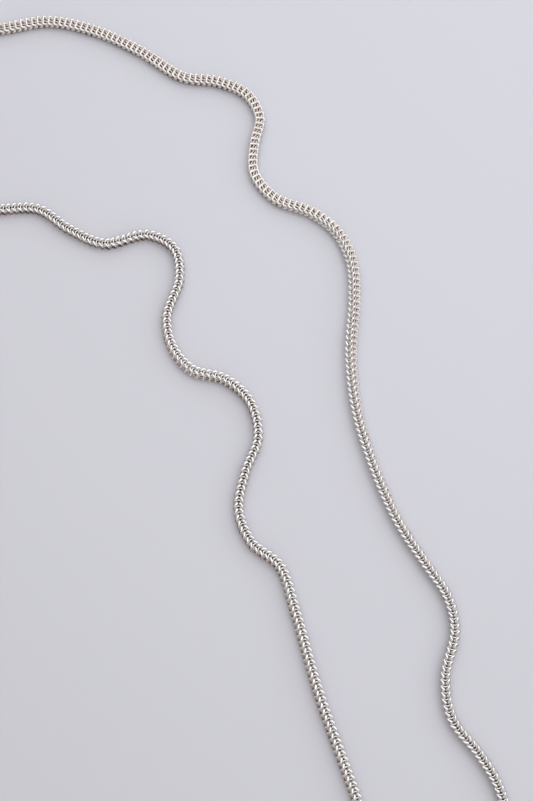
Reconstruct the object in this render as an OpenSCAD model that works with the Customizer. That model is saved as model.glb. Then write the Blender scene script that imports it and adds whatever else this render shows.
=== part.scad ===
// Foxtail chain: a closed necklace lying on a surface in loose curves.
// The chain runs from the upper end cap round to the lower one. A clasp and
// a jump ring join the caps. Millimetres: X to the right, Y away from the
// viewer, Z up. The surface is Z = 0, and the origin lies on it, under the
// middle of the loop.

/* [Chain] */
// Width and height of the chain's square section
chain_w = 2.5; // [2.3:0.1:2.7]
// How far the section's corners are cut back
corner_cut = 0.3; // [0.2:0.05:0.4]

/* [End caps] */
// Length of a cap's barrel
cap_len = 4; // [3.6:0.2:5]
// Thickness of the barrel's wall
cap_wall = 0.35; // [0.3:0.05:0.4]
// Thickness of the barrel's closed end
cap_floor = 0.8; // [0.6:0.1:1]
// Space between the chain's corners and the pocket's wall
cap_fit = 0.08; // [0.05:0.01:0.1]
// Thickness of the wire of the eyes on the caps and on the clasp
eye_wire = 0.6; // [0.5:0.05:0.7]

/* [Clasp] */
// Width of the clasp at its round end
clasp_w = 6; // [5.6:0.2:6.4]
// Width of the clasp at its narrow end
clasp_tail_w = 2.2; // [2:0.1:2.4]
// Width of the rim round the clasp's hole
clasp_rim = 1.2; // [1:0.05:1.3]
// Thickness of the clasp
clasp_t = 1.2; // [1:0.05:1.3]
// Outer diameter of the eye at the clasp's narrow end
tail_od = 3.2; // [3.1:0.05:3.4]

/* [Jump ring] */
// Outer diameter of the ring
ring_od = 4.6; // [4.5:0.05:4.8]
// Thickness of the ring's wire
ring_wire = 0.7; // [0.6:0.05:0.75]

/* [Hidden] */
$fn = 48;

// The chain's route, seen from above, from the upper cap to the lower one.
// Columns: x, y, roll of the section about the chain's length in degrees, and
// how much of the caps' height the chain is lifted by. At roll 90 the side
// with the two plain rails is up, and at roll 0 the side with the two rows
// of slanting loops.
ROUTE = [
    // out of the upper cap and into view
    [-72, 92.5, 90, 1],
    [-72, 94, 90, 1],
    [-72, 96.5, 90, 0.95],
    [-69.5, 102, 90, 0.5],
    [-64, 105.5, 90, 0.15],
    [-57, 106, 90, 0],
    [-49, 106.6, 90, 0],
    // down the right-hand strand
    [-37, 108.6, 90, 0],
    [-25.5, 106.1, 90, 0],
    [-13.9, 100.6, 90, 0],
    [-3, 93.6, 90, 0],
    [6, 92.2, 90, 0],
    [13.2, 88.7, 90, 0],
    [16.3, 82.5, 90, 0],
    [15, 75.5, 90, 0],
    [15, 68, 90, 0],
    [20, 61.5, 85, 0],
    [29.1, 57.7, 80, 0],
    [35.2, 52.7, 65, 0],
    [38.7, 45, 55, 0],
    [39.2, 36, 50, 0],
    [38.2, 22, 40, 0],
    [39.5, 8, 25, 0],
    [44.3, -7.9, 20, 0],
    [49.2, -18.9, 20, 0],
    [55.2, -28.3, 15, 0],
    [59.7, -35.4, 10, 0],
    [61.2, -43, 10, 0],
    [58.7, -54, 10, 0],
    [60.1, -63, 10, 0],
    [65.7, -70.3, 10, 0],
    [69.7, -77, 10, 0],
    // the bend that joins the strands
    [72.2, -86, 10, 0],
    [73.8, -97, 0, 0],
    [67, -106.5, 0, 0],
    [57, -108.5, 0, 0],
    [48.5, -103, 0, 0],
    // up the left-hand strand
    [42.3, -91, 10, 0],
    [35.5, -73, 15, 0],
    [29.5, -56, 15, 0],
    [24.5, -38.5, 15, 0],
    [21, -28.5, 15, 0],
    [14.5, -23, 10, 0],
    [11.5, -15.5, 5, 0],
    [13, -6.5, 0, 0],
    [16, 2, 0, 0],
    [14, 10.5, 5, 0],
    [8.1, 15.8, 15, 0],
    [0.1, 18.2, 20, 0],
    [-4.7, 24.1, 15, 0],
    [-6, 31.5, 10, 0],
    [-3.1, 41, 0, 0],
    [-4.5, 48.5, 0, 0],
    [-11, 52, 0, 0],
    [-21.5, 49.8, 0, 0],
    [-29.8, 53.3, 0, 0],
    [-38, 58.6, 0, 0],
    [-47, 58.6, 0, 0],
    // back to the lower cap
    [-57, 58, 0, 0],
    [-66, 60, 0, 0.15],
    [-71, 64.5, 0, 0.6],
    [-72, 69, 0, 1],
    [-72, 71, 0, 1],
    [-72, 72.5, 0, 1]
];
LAST = len(ROUTE) - 1;
// The two strands are one chain, drawn as two solids that meet at this point
MEET = 35;
// A span of the route whose ends turn by more than this has a ring of points
// at its middle too
BEND_LIMIT = 60;

half_w = chain_w / 2;
half_flat = half_w - corner_cut;
// Corners of the chain's section, as steps along its two cross axes
SECTION = [
    [half_w, -half_flat], [half_w, half_flat], [half_flat, half_w], [-half_flat, half_w],
    [-half_w, half_flat], [-half_w, -half_flat], [-half_flat, -half_w], [half_flat, -half_w]
];
SIDES = len(SECTION);

// The caps lie on the surface, and their eyes are as tall as their barrels
pocket_d = 2 * (norm([half_w, half_flat]) + cap_fit);
cap_od = pocket_d + 2 * cap_wall;
cap_z = cap_od / 2;
end_lift = cap_z - half_w;
// Depth to which an eye is sunk into the piece that it is soldered to
solder = 0.3;
// Space between the chain's end and the bottom of the pocket
seat_gap = 0.2;
// Bevel on the edges of the barrel's closed end
cap_bevel = 0.4;

fittings_x = ROUTE[0][0];
upper_floor_y = ROUTE[0][1] - seat_gap - cap_floor;
lower_floor_y = ROUTE[LAST][1] + seat_gap + cap_floor;
eye_reach = cap_od / 2 - solder;
upper_eye_y = upper_floor_y - eye_reach;
lower_eye_y = lower_floor_y + eye_reach;

// The jump ring lies flat through the upper cap's eye and the clasp's eye,
// and its wire crosses each eye a little off its middle
ring_r = (ring_od - ring_wire) / 2;
upper_slack = 0.5;
tail_slack = 0.2;
ring_y = upper_eye_y - upper_slack - ring_r;
ring_z = 1.3;
tail_eye_y = ring_y - ring_r - tail_slack;

// The clasp is a flat drop shape that hangs by its rim in the lower cap's eye
clasp_r = clasp_w / 2;
clasp_tail_r = clasp_tail_w / 2;
clasp_y = lower_eye_y + clasp_r - clasp_rim / 2;
clasp_reach = tail_eye_y - tail_od / 2 + solder - clasp_tail_r - clasp_y;
clasp_z = 0.9;
hole_tail_r = 0.5;
hole_reach = 3;

// Route point i, with one more beyond each end so that the ends run straight
function knot(i) =
    i < 0 ? 2 * knot(0) - knot(1) :
    i > LAST ? 2 * knot(LAST) - knot(LAST - 1) :
    [ROUTE[i][0], ROUTE[i][1]];

// Step of the curve's parameter between route points i and i + 1
function stride(i) = sqrt(norm(knot(i + 1) - knot(i)));

// Slope of the curve at route point i, for a span with the stride d
function slope(i, d) =
    let(before = stride(i - 1), after = stride(i))
    d * ((knot(i) - knot(i - 1)) / before
        - (knot(i + 1) - knot(i - 1)) / (before + after)
        + (knot(i + 1) - knot(i)) / after);

// Point of the smooth curve at u, where u counts route points
function spot(u) =
    let(i = min(floor(u), LAST - 1), t = u - i, d = stride(i))
    (2 * t ^ 3 - 3 * t ^ 2 + 1) * knot(i) + (t ^ 3 - 2 * t ^ 2 + t) * slope(i, d)
    + (3 * t ^ 2 - 2 * t ^ 3) * knot(i + 1) + (t ^ 3 - t ^ 2) * slope(i + 1, d);

// Direction in which the curve runs at u
function heading(u) =
    let(i = min(floor(u), LAST - 1), t = u - i, d = stride(i),
        v = (6 * t ^ 2 - 6 * t) * (knot(i) - knot(i + 1))
            + (3 * t ^ 2 - 4 * t + 1) * slope(i, d) + (3 * t ^ 2 - 2 * t) * slope(i + 1, d))
    v / norm(v);

// Value of a column of the route at u
function column(c, u) =
    let(i = min(floor(u), LAST - 1), t = u - i)
    ROUTE[i][c] * (1 - t) + ROUTE[i + 1][c] * t;

// Height of the chain's middle when a section with this roll lies on the surface
function support(roll) = max([for (q = SECTION) q.x * sin(roll) + q.y * cos(roll)]);

// The section's corners where they stand at u
function ring(u) =
    let(p = spot(u), h = heading(u), roll = column(2, u),
        z = support(roll) + end_lift * column(3, u))
    [for (q = SECTION)
        let(across = q.x * cos(roll) - q.y * sin(roll), up = q.x * sin(roll) + q.y * cos(roll))
        [p.x - h.y * across, p.y + h.x * across, z + up]];

// Angle by which the route turns at point i
function turn(i) =
    let(a = knot(i) - knot(i - 1), b = knot(i + 1) - knot(i))
    acos(min(1, (a * b) / (norm(a) * norm(b))));

// Where the rings stand between two route points
function ring_places(first, last) = [
    for (i = [first:last]) each
        i < last && turn(i) + turn(i + 1) > BEND_LIMIT ? [i, i + 0.5] : [i]
];

// A closed solid through the rings at the given places
module strand(places) {
    rings = [for (u = places) ring(u)];
    top = (len(rings) - 1) * SIDES;
    polyhedron(
        points = [for (r = rings) each r],
        faces = [
            [for (j = [0:SIDES - 1]) j],
            for (k = [0:len(rings) - 2], j = [0:SIDES - 1])
                let(a = k * SIDES + j, b = k * SIDES + (j + 1) % SIDES)
                each [[a, a + SIDES, b + SIDES], [a, b + SIDES, b]],
            [for (j = [SIDES - 1:-1:0]) top + j]
        ]
    );
}

// A wire ring round the Z axis
module wire_ring(r, wire) {
    rotate_extrude() translate([r, 0]) circle(d = wire);
}

// An end cap standing on its mouth: a barrel with a pocket, and an eye on its closed end
module end_cap() {
    difference() {
        rotate_extrude() polygon([
            [0, 0], [cap_od / 2, 0], [cap_od / 2, cap_len - cap_bevel],
            [cap_od / 2 - cap_bevel, cap_len], [0, cap_len]
        ]);
        translate([0, 0, -1]) cylinder(d = pocket_d, h = cap_len - cap_floor + 1);
    }
    translate([0, 0, cap_len + eye_reach]) rotate([0, 90, 0])
        wire_ring((cap_od - eye_wire) / 2, eye_wire);
}

// A flat drop: a round end at the origin, and a narrow end on the Y axis
module drop(r, tail_r, reach, h) {
    lean = acos((r - tail_r) / reach);
    cylinder(r = r, h = h);
    translate([0, reach, 0]) cylinder(r = tail_r, h = h);
    linear_extrude(h) polygon([
        [r * sin(lean), r * cos(lean)],
        [tail_r * sin(lean), reach + tail_r * cos(lean)],
        [-tail_r * sin(lean), reach + tail_r * cos(lean)],
        [-r * sin(lean), r * cos(lean)]
    ]);
}

// The strand from the upper cap to the middle of the lower bend
module chain_outer() {
    color("silver") strand(ring_places(0, MEET));
}

// The strand from the middle of the lower bend to the lower cap
module chain_inner() {
    color("silver") strand(ring_places(MEET, LAST));
}

module end_cap_upper() {
    color("silver") translate([fittings_x, upper_floor_y + cap_len, cap_z])
        rotate([90, 0, 0]) end_cap();
}

module end_cap_lower() {
    color("silver") translate([fittings_x, lower_floor_y - cap_len, cap_z])
        rotate([-90, 0, 0]) end_cap();
}

module jump_ring() {
    color("silver") translate([fittings_x, ring_y, ring_z]) wire_ring(ring_r, ring_wire);
}

// One plain piece: the drop with its hole, and an upright eye on its narrow end
module clasp() {
    color("silver") {
        translate([fittings_x, clasp_y, clasp_z]) difference() {
            drop(clasp_r, clasp_tail_r, clasp_reach, clasp_t);
            translate([0, 0, -1]) drop(clasp_r - clasp_rim, hole_tail_r, hole_reach, clasp_t + 2);
        }
        translate([fittings_x, tail_eye_y, tail_od / 2]) rotate([0, 90, 0])
            wire_ring((tail_od - eye_wire) / 2, eye_wire);
    }
}

chain_outer();
chain_inner();
end_cap_upper();
end_cap_lower();
jump_ring();
clasp();
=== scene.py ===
# %% [markdown]
# # A foxtail chain laid in loose curves
# A foxtail chain looks woven, but it is made of small wire links. Two rows of
# slanting, nearly upright oval links stand side by side, and a row of smaller
# rings through the middle holds each pair of ovals to the next pair. The whole
# has a square section: two of its sides show rows of V shapes, and the other
# two look like a ladder with two rails.
#
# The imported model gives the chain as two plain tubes, and its caps, ring and
# clasp as simple solids. Here the tubes are replaced with separate links, and
# the fittings get soft edges. Everything is in metres.

# %% Load the frame
import math
import random

import bmesh
import bpy
from mathutils import Matrix, Vector


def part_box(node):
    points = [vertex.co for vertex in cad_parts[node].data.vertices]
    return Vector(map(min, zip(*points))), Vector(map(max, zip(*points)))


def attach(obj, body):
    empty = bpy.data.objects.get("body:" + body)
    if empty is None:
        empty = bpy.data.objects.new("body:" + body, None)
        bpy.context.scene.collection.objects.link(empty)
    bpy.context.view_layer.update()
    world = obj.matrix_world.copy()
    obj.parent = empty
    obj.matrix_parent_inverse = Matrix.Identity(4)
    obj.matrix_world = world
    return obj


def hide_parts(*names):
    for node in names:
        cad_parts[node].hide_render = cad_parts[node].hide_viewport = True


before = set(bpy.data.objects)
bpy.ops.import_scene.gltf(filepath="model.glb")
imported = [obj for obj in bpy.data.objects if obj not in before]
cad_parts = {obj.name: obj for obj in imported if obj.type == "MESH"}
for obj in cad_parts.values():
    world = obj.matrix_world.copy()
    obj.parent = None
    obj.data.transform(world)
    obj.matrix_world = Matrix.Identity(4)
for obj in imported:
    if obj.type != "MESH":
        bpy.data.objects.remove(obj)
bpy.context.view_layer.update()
MM = 0.001
UP = Vector((0, 0, 1))

# %% [markdown]
# ## The camera
# The photograph looks down on the chain steeply. The lens and the height were
# fitted so that the links come out equally long all along the chain: 60 mm and
# 78 degrees fit best, but only just. Lenses from 28 to 72 mm, with 84 down to
# 75 degrees, fit almost as well.

# %% Camera
LENS = 60
SENSOR = 36
VIEW_ELEVATION = math.radians(78)
VIEW_DISTANCE = 0.31844
VIEW_TARGET = Vector((0.018, 0.011, 0))


def add_camera():
    """The photograph's camera, looking along +Y and down."""
    data = bpy.data.cameras.new("camera")
    data.lens = LENS
    data.sensor_width = SENSOR
    data.clip_start = 0.01
    camera = bpy.data.objects.new("camera", data)
    back = Vector((0, -math.cos(VIEW_ELEVATION), math.sin(VIEW_ELEVATION)))
    camera.location = VIEW_TARGET + back * VIEW_DISTANCE
    camera.rotation_euler = (math.pi / 2 - VIEW_ELEVATION, 0, 0)
    bpy.context.scene.collection.objects.link(camera)
    bpy.context.scene.camera = camera
    print("camera at", [round(v, 4) for v in camera.location])


add_camera()

# %% [markdown]
# ## The chain's route
# A chain on a table has no shape of its own: it lies where it fell. So its
# route is a list of points given along the traced curves, and closed
# outside the picture by plain bends. Each point also says how far the chain is
# rolled about its own length, because a square chain shows another side when
# it rolls, and how far it is lifted to enter the round caps.
#
# Bezier curves could carry such a route, but their twist is hard to steer. A
# Catmull-Rom curve passes through every point, and the roll is simply blended
# from one point to the next.

# %% Route
# x, y, roll in degrees, share of the caps' lift
ROUTE = [
    # out of the upper cap and into view
    (-0.072, 0.0925, 90, 1),
    (-0.072, 0.094, 90, 1),
    (-0.072, 0.0965, 90, 0.95),
    (-0.0695, 0.102, 90, 0.5),
    (-0.064, 0.1055, 90, 0.15),
    (-0.057, 0.106, 90, 0),
    (-0.049, 0.1066, 90, 0),
    # down the right-hand strand
    (-0.037, 0.1086, 90, 0),
    (-0.0255, 0.1061, 90, 0),
    (-0.0139, 0.1006, 90, 0),
    (-0.003, 0.0936, 90, 0),
    (0.006, 0.0922, 90, 0),
    (0.0132, 0.0887, 90, 0),
    (0.0163, 0.0825, 90, 0),
    (0.015, 0.0755, 90, 0),
    (0.015, 0.068, 90, 0),
    (0.02, 0.0615, 85, 0),
    (0.0291, 0.0577, 80, 0),
    (0.0352, 0.0527, 65, 0),
    (0.0387, 0.045, 55, 0),
    (0.0392, 0.036, 50, 0),
    (0.0382, 0.022, 40, 0),
    (0.0395, 0.008, 25, 0),
    (0.0443, -0.0079, 20, 0),
    (0.0492, -0.0189, 20, 0),
    (0.0552, -0.0283, 15, 0),
    (0.0597, -0.0354, 10, 0),
    (0.0612, -0.043, 10, 0),
    (0.0587, -0.054, 10, 0),
    (0.0601, -0.063, 10, 0),
    (0.0657, -0.0703, 10, 0),
    (0.0697, -0.077, 10, 0),
    # the bend that joins the strands
    (0.0722, -0.086, 10, 0),
    (0.0738, -0.097, 0, 0),
    (0.067, -0.1065, 0, 0),
    (0.057, -0.1085, 0, 0),
    (0.0485, -0.103, 0, 0),
    # up the left-hand strand
    (0.0423, -0.091, 10, 0),
    (0.0355, -0.073, 15, 0),
    (0.0295, -0.056, 15, 0),
    (0.0245, -0.0385, 15, 0),
    (0.021, -0.0285, 15, 0),
    (0.0145, -0.023, 10, 0),
    (0.0115, -0.0155, 5, 0),
    (0.013, -0.0065, 0, 0),
    (0.016, 0.002, 0, 0),
    (0.014, 0.0105, 5, 0),
    (0.0081, 0.0158, 15, 0),
    (0.0001, 0.0182, 20, 0),
    (-0.0047, 0.0241, 15, 0),
    (-0.006, 0.0315, 10, 0),
    (-0.0031, 0.041, 0, 0),
    (-0.0045, 0.0485, 0, 0),
    (-0.011, 0.052, 0, 0),
    (-0.0215, 0.0498, 0, 0),
    (-0.0298, 0.0533, 0, 0),
    (-0.038, 0.0586, 0, 0),
    (-0.047, 0.0586, 0, 0),
    # back to the lower cap
    (-0.057, 0.058, 0, 0),
    (-0.066, 0.06, 0, 0.15),
    (-0.071, 0.0645, 0, 0.6),
    (-0.072, 0.069, 0, 1),
    (-0.072, 0.071, 0, 1),
    (-0.072, 0.0725, 0, 1),
]
LAST = len(ROUTE) - 1
MEET = 35
CHAIN_W = 2.5 * MM
CORNER_CUT = 0.3 * MM


def knot(i):
    """Route point i, with one more beyond each end so that the ends run straight."""
    if i < 0:
        return 2 * knot(0) - knot(1)
    if i > LAST:
        return 2 * knot(LAST) - knot(LAST - 1)
    return Vector(ROUTE[i][:2])


def stride(i):
    """Step of the curve's parameter between route points i and i + 1."""
    return math.sqrt((knot(i + 1) - knot(i)).length)


def slope(i, d):
    """Slope of the curve at route point i, for a span with the stride d."""
    before, after = stride(i - 1), stride(i)
    return d * (
        (knot(i) - knot(i - 1)) / before
        - (knot(i + 1) - knot(i - 1)) / (before + after)
        + (knot(i + 1) - knot(i)) / after
    )


def spot(u):
    """Point of the smooth curve at u, where u counts route points."""
    i = min(int(u), LAST - 1)
    t, d = u - i, stride(i)
    return (
        (2 * t**3 - 3 * t**2 + 1) * knot(i)
        + (t**3 - 2 * t**2 + t) * slope(i, d)
        + (3 * t**2 - 2 * t**3) * knot(i + 1)
        + (t**3 - t**2) * slope(i + 1, d)
    )


def column(c, u):
    """Value of a column of the route at u."""
    i = min(int(u), LAST - 1)
    return ROUTE[i][c] * (1 - u + i) + ROUTE[i + 1][c] * (u - i)


STEPS = 30
spots = [spot(k / STEPS) for k in range(LAST * STEPS + 1)]
reach = [0.0]
for a, b in zip(spots, spots[1:]):
    reach.append(reach[-1] + (b - a).length)
chain_length, meet_at = reach[-1], reach[MEET * STEPS]
print("chain", round(chain_length / MM, 1), "mm, strands meet at", round(meet_at / MM, 1), "mm")

# %% [markdown]
# ## Standing at any place along the chain
# Each link needs a place and a direction: forward along the chain, and the two
# directions across it, turned by the roll. A rolled square stands a little
# higher than a flat one, so the height is worked out from the section's corners.
# The two caps lift the chain's ends, because they are thicker than the chain.

# %% Places along the chain
cap_low, cap_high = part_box("end_cap_upper")
CAP_R = (cap_high.x - cap_low.x) / 2
END_LIFT = CAP_R - CHAIN_W / 2
HALF, FLAT = CHAIN_W / 2, CHAIN_W / 2 - CORNER_CUT


def at_length(s):
    """The curve's parameter at the length s along the chain."""
    low, high = 0, len(reach) - 1
    while high - low > 1:
        middle = (low + high) // 2
        low, high = (middle, high) if reach[middle] <= s else (low, middle)
    return (low + (s - reach[low]) / (reach[high] - reach[low])) / STEPS


def middle_at(s):
    """The middle of the chain's section at the length s, and its roll."""
    u = at_length(min(max(s, 0), chain_length))
    roll = math.radians(column(2, u))
    rise, side = abs(math.cos(roll)), abs(math.sin(roll))
    support = max(HALF * rise + FLAT * side, FLAT * rise + HALF * side)
    x, y = spot(u)
    return Vector((x, y, support + END_LIFT * column(3, u))), roll


def place_at(s, reach_each_way=0.4 * MM):
    """A matrix that puts a link's own axes at the length s: X forward, Y and Z across."""
    centre, roll = middle_at(s)
    forward = (middle_at(s + reach_each_way)[0] - middle_at(s - reach_each_way)[0]).normalized()
    left = UP.cross(forward).normalized()
    up = forward.cross(left)
    across_y = left * math.cos(roll) + up * math.sin(roll)
    across_z = up * math.cos(roll) - left * math.sin(roll)
    turn = Matrix((forward, across_y, across_z)).transposed().to_4x4()
    return Matrix.Translation(centre) @ turn


print("roll at the meeting point", round(math.degrees(middle_at(meet_at)[1])), "degrees")

# %% [markdown]
# ## One wire link
# A link is a piece of round wire bent into a closed rounded shape. A torus
# would only do for round rings. Instead a small circle, the wire's section, is
# pushed along the straight stretches with an extrude and round the corners
# with a spin, four times, until it meets its start. The chain has more than a
# thousand links, so each has only a few dozen faces, and smooth shading does
# the rest.

# %% Wire link
def wire_link(length, width, corner, wire, sides=6, corner_steps=2, run_steps=1):
    """A closed link of round wire in the XY plane, with its length along X."""
    bm = bmesh.new()
    bmesh.ops.create_circle(bm, segments=sides, radius=wire / 2)
    start = Vector((corner - length / 2, -width / 2, 0))
    stand = Matrix.Translation(start) @ Matrix.Rotation(math.pi / 2, 4, "Y")
    bmesh.ops.transform(bm, matrix=stand, verts=bm.verts)
    section, centre = bm.edges[:], start
    for quarter in range(4):
        forward = Matrix.Rotation(quarter * math.pi / 2, 3, "Z") @ Vector((1, 0, 0))
        run = (width if quarter % 2 else length) - 2 * corner
        if run > wire / 100:
            for _ in range(run_steps):
                section = push(bm, section, forward * run / run_steps)
            centre = centre + forward * run
        pivot = centre + UP.cross(forward) * corner
        ends = [v for e in section for v in e.verts]
        spun = bmesh.ops.spin(
            bm, geom=section + list(set(ends)), cent=pivot, axis=UP,
            angle=math.pi / 2, steps=corner_steps, use_merge=False,
        )
        section = [g for g in spun["geom_last"] if isinstance(g, bmesh.types.BMEdge)]
        centre = pivot + forward * corner
    bmesh.ops.remove_doubles(bm, verts=bm.verts, dist=wire / 1000)
    bmesh.ops.recalc_face_normals(bm, faces=bm.faces)
    return bm


def push(bm, section, step):
    """Extrude a loop of edges by a step, and return the new loop."""
    made = bmesh.ops.extrude_edge_only(bm, edges=section)["geom"]
    verts = {g for g in made if isinstance(g, bmesh.types.BMVert)}
    bmesh.ops.translate(bm, vec=step, verts=list(verts))
    return [e for e in {e for v in verts for e in v.link_edges} if verts.issuperset(e.verts)]


# %% [markdown]
# ## The links' sizes
# The ovals' wire is a little over half a millimetre thick, and each oval is as
# tall as the chain. Seen from the side with the V shapes, an oval leans away
# from the chain's middle line: its inner end points down the chain. The inner
# ends of a pair touch, and the wire between an oval's ends is bowed, so that
# the V has a blunt point. An oval's outer end is a rung of the ladder, and it
# is sunk a little, so that the rails stand out.
#
# The rings' wire is thinner. Each ring goes round the inner ends of two pairs
# with some play, and it tilts, so that it passes over the ring ahead of it and
# under the one behind it. Its sides are pinched between the pairs.
#
# These sizes give the look from outside. They don't give links that clear one
# another: each ring's wire cuts 0.2 to 0.4 mm into the ovals' wire, at its own
# two pairs and at the pair ahead. A chain to be made or moved needs thinner
# wire, a longer pitch or another run of the rings.

# %% Link sizes
PITCH = 1.41 * MM
OVAL_WIRE = 0.58 * MM
OVAL_CORNER = 0.3 * MM
OUTER_Y = CHAIN_W / 2 + 0.02 * MM - OVAL_WIRE / 2
INNER_Y = 0.29 * MM
LEAN = math.radians(34)
BOW = 1.5
RUNG_SINK = 0.2 * MM
RING_WIRE = 0.34 * MM
RING_TILT = math.radians(26)
RING_PLAY = 0.15 * MM
RING_PINCH = 0.4
FIT = 0.01 * MM

oval_tall = CHAIN_W + 0.04 * MM - OVAL_WIRE
oval_deep = (OUTER_Y - INNER_Y) / math.sin(LEAN)
rung_reach = oval_tall / 2 - OVAL_CORNER + FIT
ring_half_w = INNER_Y + OVAL_WIRE / 2 + FIT + RING_WIRE / 2
ring_straight = (PITCH + RING_PLAY) / math.cos(RING_TILT)
oval_size = [round(oval_tall / MM, 2), round(oval_deep / MM, 2)]
print("oval", oval_size, "mm along the wire's middle")


def set_axes(bm, x_axis, y_axis, centre):
    """Turn a link's own X and Y axes to the given ones and move it to its centre."""
    turn = Matrix((x_axis, y_axis, x_axis.cross(y_axis))).transposed().to_4x4()
    bmesh.ops.transform(bm, matrix=Matrix.Translation(centre) @ turn, verts=bm.verts)


def oval(side):
    """One oval link of a pair, on the left (side 1) or the right (side -1)."""
    bm = wire_link(oval_tall, oval_deep, OVAL_CORNER, OVAL_WIRE)
    outward = Vector((-math.cos(LEAN), side * math.sin(LEAN), 0))
    inner_end = Vector((0, side * INNER_Y, 0))
    set_axes(bm, UP, outward, inner_end + outward * oval_deep / 2)
    for v in bm.verts:
        share = (abs(v.co.y) - INNER_Y) / (OUTER_Y - INNER_Y)
        if 0 < share < 1:
            v.co.x += (share - share**BOW) * oval_deep * math.cos(LEAN)
        if share > 0.5 and abs(v.co.z) < rung_reach:
            v.co.y -= side * RUNG_SINK
    return bm


def ring_to_next_pair():
    """The ring round the inner ends of this pair of ovals and the next."""
    length = ring_straight + 2 * ring_half_w
    bm = wire_link(length, 2 * ring_half_w, ring_half_w, RING_WIRE, sides=5, run_steps=3)
    for v in bm.verts:
        between = max(0, 1 - 2 * abs(v.co.x) / ring_straight)
        v.co.y *= 1 - RING_PINCH * between
    along = Vector((math.cos(RING_TILT), 0, math.sin(RING_TILT)))
    set_axes(bm, along, Vector((0, 1, 0)), Vector((PITCH / 2, 0, 0)))
    return bm


# %% [markdown]
# ## Marks for the finish and the painted shade
# Silver stays bright where it is touched and tarnishes where it isn't, and the
# hollows of a chain lie in shade. To let the material know where that is, each
# point of a link carries two numbers that go with it along the chain. One says
# how hidden it is: a little deep inside the chain's square section, more where
# the surface faces the chain's middle, and most low down by the surface that the
# chain lies on. From it the material paints tarnish and shade: a warm tan and a
# dark brown in the hollows, and a dark brown painted contact shadow low down.
# The other is a tone that differs from link to link.

# %% Link patterns
# Weights of the hidden mark deep in the section and on faces turned to the chain's middle. There
# they paint shade, along with tarnish.
DEPTH_MARK = 0.45
INWARD_MARK = 0.7


def as_pattern(name, bm):
    """Store a link's bmesh as a mesh with its marks."""
    recess = bm.verts.layers.float.new("recess")
    bm.verts.layers.float.new("tone")
    bm.normal_update()
    for v in bm.verts:
        # Painted shade with some tarnish: deep points and faces turned to the chain's middle get a
        # higher mark, and the material colours them tan to dark brown.
        depth = max(0, 1 - max(abs(v.co.y), abs(v.co.z)) / HALF)
        inward = max(0, -v.normal.z * math.copysign(1, v.co.z))
        v[recess] = DEPTH_MARK * depth + INWARD_MARK * inward
    mesh = bpy.data.meshes.new(name)
    bm.to_mesh(mesh)
    bm.free()
    print(name, len(mesh.polygons), "faces")
    return mesh


patterns = [
    as_pattern("left_oval", oval(1)),
    as_pattern("right_oval", oval(-1)),
    as_pattern("middle_ring", ring_to_next_pair()),
]

# %% [markdown]
# ## Laying the links
# The links stay stiff and only their places change, as in the real chain, so
# in a bend they open on the outside and close up on the inside, where the
# ovals of a row overlap in the tightest bends. Each link's pattern is copied,
# moved to its place and joined to the strand's mesh. The first pair stands just
# inside the upper cap's pocket, the last just inside the lower one's.

# %% Strands
FIRST_PAIR = 1.25 * MM
LAST_PAIR = 0.3 * MM
# Painted contact shadow: below this height over the surface the hidden mark grows, so the lowest
# parts of the links come out dark brown.
CONTACT_SHADE_TOP = 1.05 * MM
CONTACT_SHADE_MARK = 1.1
spans = round((chain_length - FIRST_PAIR - LAST_PAIR) / PITCH)
true_pitch = (chain_length - FIRST_PAIR - LAST_PAIR) / spans
pair_places = [FIRST_PAIR + k * true_pitch for k in range(spans + 1)]
tones = random.Random(7)


def add_piece(name, bm, node):
    """Make a finished, smooth-shaded object that stands for a CAD node."""
    mesh = bpy.data.meshes.new(name)
    bm.to_mesh(mesh)
    bm.free()
    mesh.shade_smooth()
    piece = bpy.data.objects.new(name, mesh)
    bpy.context.scene.collection.objects.link(piece)
    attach(piece, "root")
    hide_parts(node)
    triangles = sum(len(p.vertices) - 2 for p in mesh.polygons)
    print(name, "has", triangles, "triangles")
    return piece


def strand(name, places, node):
    """All the links whose pairs stand at the given places."""
    bm = bmesh.new()
    for s in places:
        last = s + true_pitch > chain_length
        for pattern in patterns[:2] if last else patterns:
            link = pattern.copy()
            ahead = true_pitch / 2 if pattern is patterns[2] else 0
            link.transform(place_at(s + ahead) @ Matrix.Translation((-ahead, 0, 0)))
            link.attributes["tone"].data.foreach_set("value", [tones.random()] * len(link.vertices))
            # Painted contact shadow: the lower a point lies, the higher its mark.
            for v, mark in zip(link.vertices, link.attributes["recess"].data):
                low_down = max(0, 1 - v.co.z / CONTACT_SHADE_TOP)
                mark.value = min(1, mark.value + CONTACT_SHADE_MARK * math.sqrt(low_down))
            bm.from_mesh(link)
            bpy.data.meshes.remove(link)
    return add_piece(name, bm, node)


chain_outer = strand("outer_strand", [s for s in pair_places if s < meet_at], "chain_outer")
chain_inner = strand("inner_strand", [s for s in pair_places if s >= meet_at], "chain_inner")
print("pitch", round(true_pitch / MM, 3), "mm,", len(pair_places), "pairs")

# %% [markdown]
# ## End caps
# A cap is a short drawn tube, closed at one end, with the chain's end soldered
# into it and a wire eye on top. It is a turned shape, so its profile is drawn
# once, its corners are rounded, and it is spun a full turn. The CAD cap gives
# its place and size.

# %% Turned shapes
def spin_full(bm, steps):
    """Spin everything in a bmesh a full turn about Z and close it."""
    bmesh.ops.spin(
        bm, geom=bm.verts[:] + bm.edges[:], cent=(0, 0, 0), axis=UP,
        angle=2 * math.pi, steps=steps, use_merge=True,
    )
    bmesh.ops.remove_doubles(bm, verts=bm.verts, dist=0.001 * MM)
    bmesh.ops.recalc_face_normals(bm, faces=bm.faces)


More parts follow.
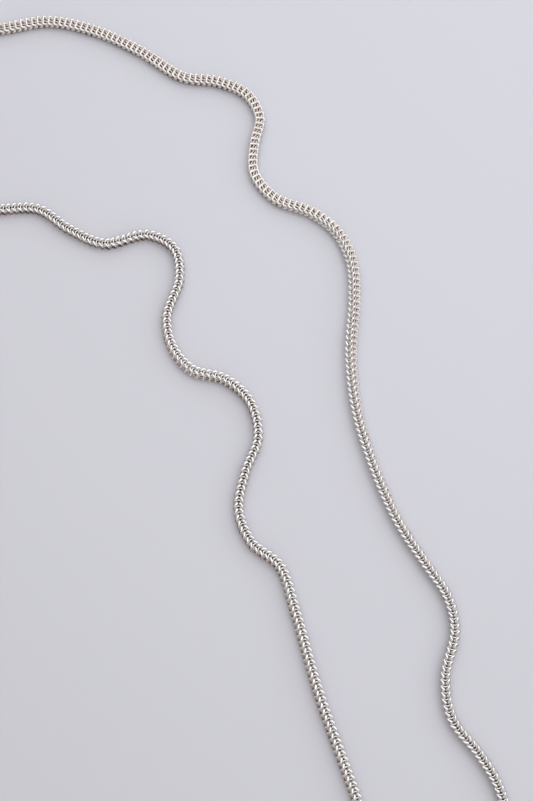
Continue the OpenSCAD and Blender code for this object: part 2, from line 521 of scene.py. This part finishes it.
def wire_ring(radius, wire, steps=40, sides=14):
    """A closed ring of round wire about Z."""
    bm = bmesh.new()
    bmesh.ops.create_circle(bm, segments=sides, radius=wire / 2)
    upright = Matrix.Translation((radius, 0, 0)) @ Matrix.Rotation(math.pi / 2, 4, "X")
    bmesh.ops.transform(bm, matrix=upright, verts=bm.verts)
    spin_full(bm, steps)
    return bm


def join(bm, other, matrix):
    """Move another bmesh and add it to this one."""
    bmesh.ops.transform(other, matrix=matrix, verts=other.verts)
    mesh = bpy.data.meshes.new("part")
    other.to_mesh(mesh)
    other.free()
    bm.from_mesh(mesh)
    bpy.data.meshes.remove(mesh)


# %% End caps
CAP_LEN = 4 * MM
CAP_FLOOR = 0.8 * MM
POCKET_R = math.hypot(HALF, FLAT) + 0.08 * MM
CAP_BEVEL = 0.4 * MM
LIP_ROUND = 0.12 * MM
EYE_WIRE = 0.6 * MM


def barrel():
    """The cap's tube, standing on its mouth."""
    bm = bmesh.new()
    profile = [
        (0, CAP_LEN), (CAP_R - CAP_BEVEL, CAP_LEN), (CAP_R, CAP_LEN - CAP_BEVEL), (CAP_R, 0),
        (POCKET_R, 0), (POCKET_R, CAP_LEN - CAP_FLOOR), (0, CAP_LEN - CAP_FLOOR),
    ]
    points = [bm.verts.new((r, 0, h)) for r, h in profile]
    for a, b in zip(points, points[1:]):
        bm.edges.new((a, b))
    bmesh.ops.bevel(
        bm, geom=points[1:-1], offset=LIP_ROUND, offset_type="OFFSET", segments=3,
        profile=0.5, affect="VERTICES", material=-1,
    )
    spin_full(bm, 48)
    return bm


def end_cap(node, mouth_up):
    """A cap with its eye, where the CAD node is."""
    low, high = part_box(node)
    bm = barrel()
    eye_turn = Matrix.Rotation(math.pi / 2, 4, "Y")
    eye_height = (high.y - low.y) - CAP_R
    eye = wire_ring(CAP_R - EYE_WIRE / 2, EYE_WIRE)
    join(bm, eye, Matrix.Translation((0, 0, eye_height)) @ eye_turn)
    mouth = Vector(((low.x + high.x) / 2, high.y if mouth_up else low.y, CAP_R))
    lay = Matrix.Rotation(math.pi / 2 if mouth_up else -math.pi / 2, 4, "X")
    bmesh.ops.transform(bm, matrix=Matrix.Translation(mouth) @ lay, verts=bm.verts)
    return add_piece(node + "_piece", bm, node)


cap_upper = end_cap("end_cap_upper", mouth_up=True)
cap_lower = end_cap("end_cap_lower", mouth_up=False)

# %% [markdown]
# ## Jump ring and clasp
# The jump ring is plain round wire. The clasp is a flat drop shape cut from
# plate with rounded edges. An outline like that is the hull of a large and a
# small circle, so it starts as one circle whose far points are shrunk and
# moved to the small end. The same is done for the hole, the two loops are
# bridged, and the face between them is extruded and bevelled.

# %% Jump ring and clasp
CLASP_RIM = 1.2 * MM
CLASP_T = 1.2 * MM
CLASP_Z = 0.9 * MM
TAIL_R = 1.1 * MM
TAIL_EYE_R = 1.6 * MM
SOLDER = 0.3 * MM
HOLE_TAIL_R = 0.5 * MM
HOLE_REACH = 3 * MM
EDGE_ROUND = 0.28 * MM
SHARP = math.radians(60)


def jump_ring():
    """The ring between the clasp and the upper cap."""
    low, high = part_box("jump_ring")
    wire = high.z - low.z
    bm = wire_ring((high.x - low.x - wire) / 2, wire, steps=56)
    bmesh.ops.translate(bm, vec=(low + high) / 2, verts=bm.verts)
    return add_piece("jump_ring_piece", bm, "jump_ring")


def drop_loop(bm, r, tail_r, tail_reach, segments=64):
    """The outline of a drop: a round end at the origin and a narrow end on the Y axis."""
    verts = bmesh.ops.create_circle(bm, segments=segments, radius=r)["verts"]
    lean = math.acos((r - tail_r) / tail_reach)
    tail = [v for v in verts if v.co.y > r * math.cos(lean)]
    bmesh.ops.scale(bm, vec=Vector((1, 1, 1)) * tail_r / r, verts=tail)
    bmesh.ops.translate(bm, vec=(0, tail_reach, 0), verts=tail)
    return list({e for v in verts for e in v.link_edges})


def clasp():
    """The drop-shaped plate and its upright eye, in one piece."""
    low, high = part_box("clasp")
    r = (high.x - low.x) / 2
    tail_reach = (high.y - low.y) - r - 2 * TAIL_EYE_R + SOLDER - TAIL_R
    bm = bmesh.new()
    outline = drop_loop(bm, r, TAIL_R, tail_reach)
    hole = drop_loop(bm, r - CLASP_RIM, HOLE_TAIL_R, HOLE_REACH)
    bmesh.ops.bridge_loops(bm, edges=outline + hole)
    made = bmesh.ops.extrude_face_region(bm, geom=bm.faces[:])["geom"]
    top = [g for g in made if isinstance(g, bmesh.types.BMVert)]
    bmesh.ops.translate(bm, vec=(0, 0, CLASP_T), verts=top)
    bmesh.ops.recalc_face_normals(bm, faces=bm.faces)
    shared_edges = [e for e in bm.edges if len(e.link_faces) == 2]
    rims = [e for e in shared_edges if e.calc_face_angle() > SHARP]
    bmesh.ops.bevel(
        bm, geom=rims, offset=EDGE_ROUND, offset_type="OFFSET", segments=3,
        profile=0.5, affect="EDGES", material=-1,
    )
    bmesh.ops.translate(bm, vec=((low.x + high.x) / 2, low.y + r, CLASP_Z), verts=bm.verts)
    eye_at = Vector(((low.x + high.x) / 2, high.y - TAIL_EYE_R, TAIL_EYE_R))
    upright = Matrix.Translation(eye_at) @ Matrix.Rotation(math.pi / 2, 4, "Y")
    join(bm, wire_ring(TAIL_EYE_R - EYE_WIRE / 2, EYE_WIRE), upright)
    return add_piece("clasp_piece", bm, "clasp")


ring_piece = jump_ring()
clasp_piece = clasp()

# %% [markdown]
# ## The silver
# Polished silver is almost colourless, so what makes it look like silver is
# what it mirrors and where it has tarnished. Its colour goes from bright
# through a warm satin tan to dark brown as a point is more hidden: partly
# tarnish, partly painted shade in the hollows and a painted contact shadow low
# down. One node group makes the colour, the share of metal, the roughness and
# the height of fine scratches from two masks: how hidden a point is, and a
# tone. The materials place it with their own values. The shader itself stays
# outside the group.

# %% Silver surface group
def new_group(name, inputs, outputs):
    """An empty shader node group with named sockets, and its two end nodes."""
    group = bpy.data.node_groups.new(name, "ShaderNodeTree")
    for label, kind, value in inputs:
        socket = group.interface.new_socket(label, in_out="INPUT", socket_type=kind)
        socket.default_value = value
    for label, kind in outputs:
        group.interface.new_socket(label, in_out="OUTPUT", socket_type=kind)
    return group, group.nodes.new("NodeGroupInput"), group.nodes.new("NodeGroupOutput")


def math_node(tree, operation, a, b=None):
    """A Math node; a and b are sockets or numbers."""
    node = tree.nodes.new("ShaderNodeMath")
    node.operation = operation
    for socket, value in zip(node.inputs, (a, b)):
        if isinstance(value, bpy.types.NodeSocket):
            tree.links.new(value, socket)
        elif value is not None:
            socket.default_value = value
    return node.outputs[0]


def mix_colour(tree, factor, a, b):
    """A Mix node between two colours, each a socket or a tuple."""
    node = tree.nodes.new("ShaderNodeMix")
    node.data_type = "RGBA"
    tree.links.new(factor, node.inputs["Factor"])
    for socket, value in ((node.inputs[6], a), (node.inputs[7], b)):
        if isinstance(value, bpy.types.NodeSocket):
            tree.links.new(value, socket)
        else:
            socket.default_value = value
    return node.outputs[2]


def noise(tree, position, scale, detail=3):
    """A Noise texture's value."""
    node = tree.nodes.new("ShaderNodeTexNoise")
    node.inputs["Scale"].default_value = scale
    node.inputs["Detail"].default_value = detail
    tree.links.new(position, node.inputs["Vector"])
    return node.outputs["Fac"]


CLOUD_SCALE = 420
SCRATCH_SCALE = 9000
# BRIGHT is the silver's own colour. The satin tan and the dark brown are partly tarnish and partly
# painted shade: tan in the hollows, and dark brown deep inside and as a painted contact shadow low
# down.
BRIGHT = (0.93, 0.935, 0.94, 1)
SATIN_AND_SHADE_TAN = (0.85, 0.767, 0.695, 1)
TARNISH_AND_SHADE_BROWN = (0.16, 0.085, 0.05, 1)


def silver_group():
    """Colour, roughness and height of silver, with tarnish and painted shade where a point is
    hidden.
    """
    group, ends_in, ends_out = new_group(
        "silver_surface",
        [("Position", "NodeSocketVector", (0, 0, 0)), ("Recess", "NodeSocketFloat", 0),
         ("Tone", "NodeSocketFloat", 0.5), ("Shade and tarnish", "NodeSocketFloat", 1),
         ("Roughness", "NodeSocketFloat", 0.2)],
        [("Color", "NodeSocketColor"), ("Metallic", "NodeSocketFloat"),
         ("Roughness", "NodeSocketFloat"), ("Height", "NodeSocketFloat")],
    )
    place, recess, tone, shade_and_tarnish, rough = ends_in.outputs[:5]
    cloud = noise(group, place, CLOUD_SCALE)
    scratch = noise(group, place, SCRATCH_SCALE, 4)
    # Painted shade with tarnish: the hidden mark, made uneven by the cloud, turns the colour to the
    # satin tan and then to dark brown, and lowers the share of metal.
    hidden = math_node(group, "ADD", recess, 0.06)
    uneven = math_node(group, "ADD", math_node(group, "MULTIPLY", cloud, 0.9), 0.45)
    shade_and_stain = math_node(group, "MULTIPLY", math_node(group, "MULTIPLY", hidden, uneven), shade_and_tarnish)
    toned = math_node(group, "ADD", shade_and_stain, math_node(group, "MULTIPLY", tone, 0.08))
    satin_and_shade_ramp = math_node(group, "MULTIPLY", math_node(group, "SUBTRACT", toned, 0.1), 2.4)
    satin_and_shade = math_node(group, "MINIMUM", math_node(group, "MAXIMUM", satin_and_shade_ramp, 0), 1)
    dark = math_node(group, "MULTIPLY", math_node(group, "SUBTRACT", toned, 0.5), 2)
    darkest = math_node(group, "MINIMUM", math_node(group, "MAXIMUM", dark, 0), 1)
    duller = math_node(group, "ADD", rough, math_node(group, "MULTIPLY", satin_and_shade, 0.35))
    frosted = math_node(group, "SUBTRACT", 1, math_node(group, "MULTIPLY", satin_and_shade, 0.75))
    spotty = math_node(group, "ADD", duller, math_node(group, "MULTIPLY", cloud, 0.06))
    shade = mix_colour(group, darkest, mix_colour(group, satin_and_shade, BRIGHT, SATIN_AND_SHADE_TAN), TARNISH_AND_SHADE_BROWN)
    group.links.new(shade, ends_out.inputs["Color"])
    group.links.new(frosted, ends_out.inputs["Metallic"])
    group.links.new(spotty, ends_out.inputs["Roughness"])
    group.links.new(scratch, ends_out.inputs["Height"])
    return group


SILVER = silver_group()


def silver_material(name, shade_and_tarnish, roughness, bump, marked):
    """A silver finish; marked pieces carry the recess mark of their links, which paints shade along
    with tarnish, and their tone.
    """
    material = bpy.data.materials.new(name)
    material.use_nodes = True
    tree = material.node_tree
    shader = tree.nodes["Principled BSDF"]
    surface = tree.nodes.new("ShaderNodeGroup")
    surface.node_tree = SILVER
    surface.inputs["Shade and tarnish"].default_value = shade_and_tarnish
    surface.inputs["Roughness"].default_value = roughness
    coords = tree.nodes.new("ShaderNodeTexCoord")
    tree.links.new(coords.outputs["Object"], surface.inputs["Position"])
    if marked:
        for label in ("recess", "tone"):
            mark = tree.nodes.new("ShaderNodeAttribute")
            mark.attribute_name = label
            tree.links.new(mark.outputs["Fac"], surface.inputs[label.capitalize()])
    relief = tree.nodes.new("ShaderNodeBump")
    relief.inputs["Distance"].default_value = bump
    relief.inputs["Strength"].default_value = 0.4
    tree.links.new(surface.outputs["Height"], relief.inputs["Height"])
    tree.links.new(surface.outputs["Color"], shader.inputs["Base Color"])
    tree.links.new(surface.outputs["Metallic"], shader.inputs["Metallic"])
    tree.links.new(surface.outputs["Roughness"], shader.inputs["Roughness"])
    tree.links.new(relief.outputs["Normal"], shader.inputs["Normal"])
    return material


SCRATCH_DEPTH = 0.01 * MM
chain_silver = silver_material("chain_silver", 1, 0.16, SCRATCH_DEPTH, marked=True)
fittings_silver = silver_material("fittings_silver", 2.5, 0.14, SCRATCH_DEPTH, marked=False)
for piece in (chain_outer, chain_inner):
    piece.data.materials.append(chain_silver)
for piece in (cap_upper, cap_lower, ring_piece, clasp_piece):
    piece.data.materials.append(fittings_silver)
print("materials:", [m.name for m in bpy.data.materials])

# %% [markdown]
# ## Floor and light
# The chain lies on a plain pale surface. Metal shows little but its
# surroundings, so they matter more than the lamps' power: a soft light nearly
# overhead whitens the tops of the wires, two more stand behind and to the
# right, a weak one stands in front, and a plain grey room fills the rest. The
# lights are near, so that the surface darkens a little towards the viewer.

# %% Floor
FLOOR_SIZE = 3.0
FLOOR_COLOUR = (0.65, 0.657, 0.71, 1)
FLOOR_ROUGHNESS = 0.7


def add_floor():
    """A wide pale surface just under the chain."""
    bm = bmesh.new()
    bmesh.ops.create_grid(bm, x_segments=1, y_segments=1, size=FLOOR_SIZE / 2)
    mesh = bpy.data.meshes.new("floor")
    bm.to_mesh(mesh)
    bm.free()
    floor = bpy.data.objects.new("floor", mesh)
    bpy.context.scene.collection.objects.link(floor)
    material = bpy.data.materials.new("floor")
    material.use_nodes = True
    shader = material.node_tree.nodes["Principled BSDF"]
    shader.inputs["Base Color"].default_value = FLOOR_COLOUR
    shader.inputs["Roughness"].default_value = FLOOR_ROUGHNESS
    mesh.materials.append(material)


add_floor()

# %% Lights
DAYLIGHT = (0.96, 0.985, 1.04)
ROOM_GREY = (0.42, 0.39, 0.365, 1)


def soft_light(name, place, target, size, power):
    """A square area light that faces a point."""
    data = bpy.data.lights.new(name, "AREA")
    data.size = size
    data.energy = power
    data.color = DAYLIGHT
    light = bpy.data.objects.new(name, data)
    light.location = place
    light.rotation_euler = (Vector(target) - Vector(place)).to_track_quat("-Z", "Y").to_euler()
    bpy.context.scene.collection.objects.link(light)


soft_light("ceiling", (0.05, 0.05, 0.4), (0.03, 0.03, 0), 0.4, 0.44)
soft_light("north", (0, 0.45, 0.38), (0, 0, 0), 0.62, 1.2)
soft_light("east", (0.5, 0.05, 0.4), (0, 0, 0), 0.68, 1.45)
soft_light("south", (0.1, -0.8, 0.65), (0, 0, 0), 1.0, 0.9)
world = bpy.data.worlds.new("room")
world.use_nodes = True
background = world.node_tree.nodes["Background"]
background.inputs["Color"].default_value = ROOM_GREY
background.inputs["Strength"].default_value = 1.0
bpy.context.scene.world = world
bpy.context.scene.view_settings.view_transform = "Standard"
